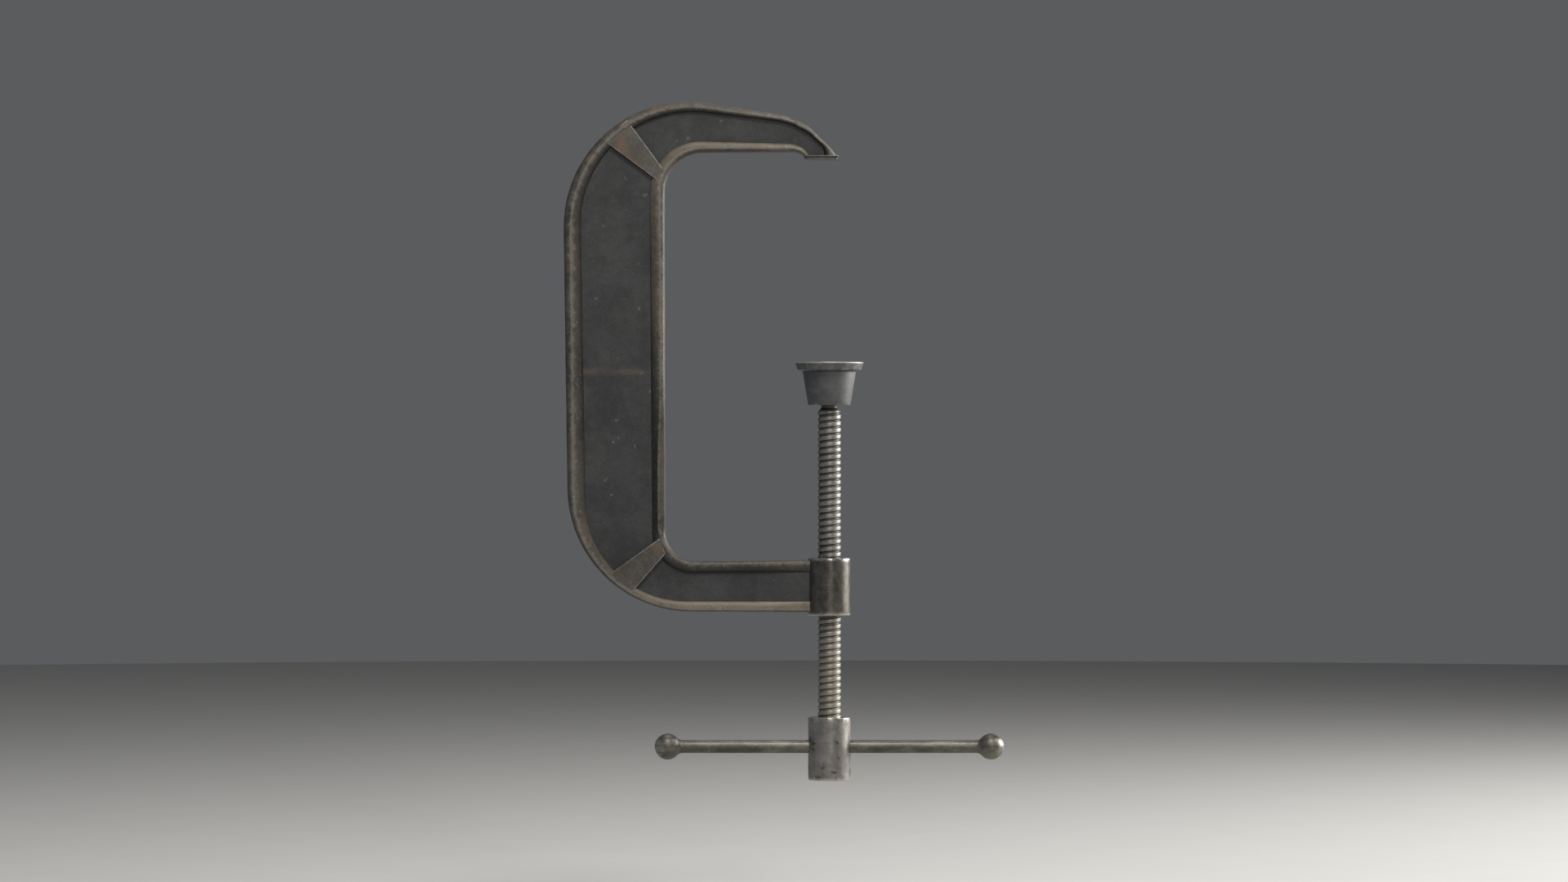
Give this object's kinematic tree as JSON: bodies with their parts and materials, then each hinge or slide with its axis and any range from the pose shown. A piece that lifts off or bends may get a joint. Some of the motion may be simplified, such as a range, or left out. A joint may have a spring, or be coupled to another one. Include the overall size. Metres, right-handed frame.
{
  "type": "g-clamp",
  "caption": "Screw clamp with a deep C-shaped welded I-section frame, fixed anvil pad, threaded spindle with swivelling shoe and a sliding tommy bar.",
  "frame": {"origin": "point of the anvil pad's clamping face on the screw axis", "axes": "+Z along the screw axis, from the shoe towards the anvil; +X away from the frame's spine; +Y through the frame's thickness, away from the viewer"},
  "size_m": [0.2696, 0.042, 0.4152],
  "materials": {
    "web_steel": "dark mill scale, slightly mottled",
    "rim_steel": "brown oxidised steel, rubbed brighter along the crown",
    "gusset_steel": "brown oxidised steel with light rust",
    "anvil_steel": "worn dark steel",
    "boss_steel": "turned steel, lightly stained",
    "screw_steel": "rolled thread, bright crests and dark grooves",
    "head_steel": "turned steel with a few dark pits",
    "pin_steel": "dark spring steel",
    "bar_steel": "drawn steel with an olive-grey patina",
    "shoe_steel": "turned steel, satin",
    "spring_steel": "spring wire",
    "ball_steel": "polished ball"
  },
  "bodies": {
    "frame": {"upper_arm_web": "web_steel", "spine_web_upper": "web_steel", "spine_web_lower": "web_steel", "lower_arm_web": "web_steel", "outer_rim": "rim_steel", "inner_rim": "rim_steel", "upper_gusset_front": "gusset_steel", "upper_gusset_back": "gusset_steel", "lower_gusset_front": "gusset_steel", "lower_gusset_back": "gusset_steel", "anvil_pad": "anvil_steel", "screw_boss": "boss_steel"},
    "swivel_ring": {"snap_ring": "spring_steel"},
    "screw": {"spindle": "screw_steel", "spindle_head": "head_steel", "head_pin": "pin_steel"},
    "handle": {"tommy_bar": "bar_steel", "tommy_knob_left": "bar_steel", "tommy_knob_right": "bar_steel"},
    "swivel_ball": {"thrust_ball": "ball_steel"},
    "shoe": {"shoe_body": "shoe_steel", "shoe_face": "shoe_steel"}
  },
  "joints": [
    {"name": "screw_feed", "type": "slide", "parent": "frame", "child": "swivel_ring", "axis": [0, 0, 1], "range_m": [-0.0916, 0.0621]},
    {"name": "screw_turn", "type": "hinge", "parent": "swivel_ring", "child": "screw", "pos_m": [0, 0, -0.25], "axis": [0, 0, 1], "range_deg": [-8235, 5580]},
    {"name": "bar_slide", "type": "slide", "parent": "screw", "child": "handle", "axis": [1, 0, 0], "range_m": [-0.0765, 0.0765]},
    {"name": "shoe_tilt_side", "type": "hinge", "parent": "swivel_ring", "child": "swivel_ball", "pos_m": [0, 0, -0.136], "axis": [1, 0, 0], "range_deg": [-5, 5]},
    {"name": "shoe_tilt_front", "type": "hinge", "parent": "swivel_ball", "child": "shoe", "pos_m": [0, 0, -0.136], "axis": [0, 1, 0], "range_deg": [-5, 5]}
  ],
  "couplings": [
    {"joint": "screw_feed", "follows": "screw_turn", "m_per_rad": 0.00063662}
  ]
}
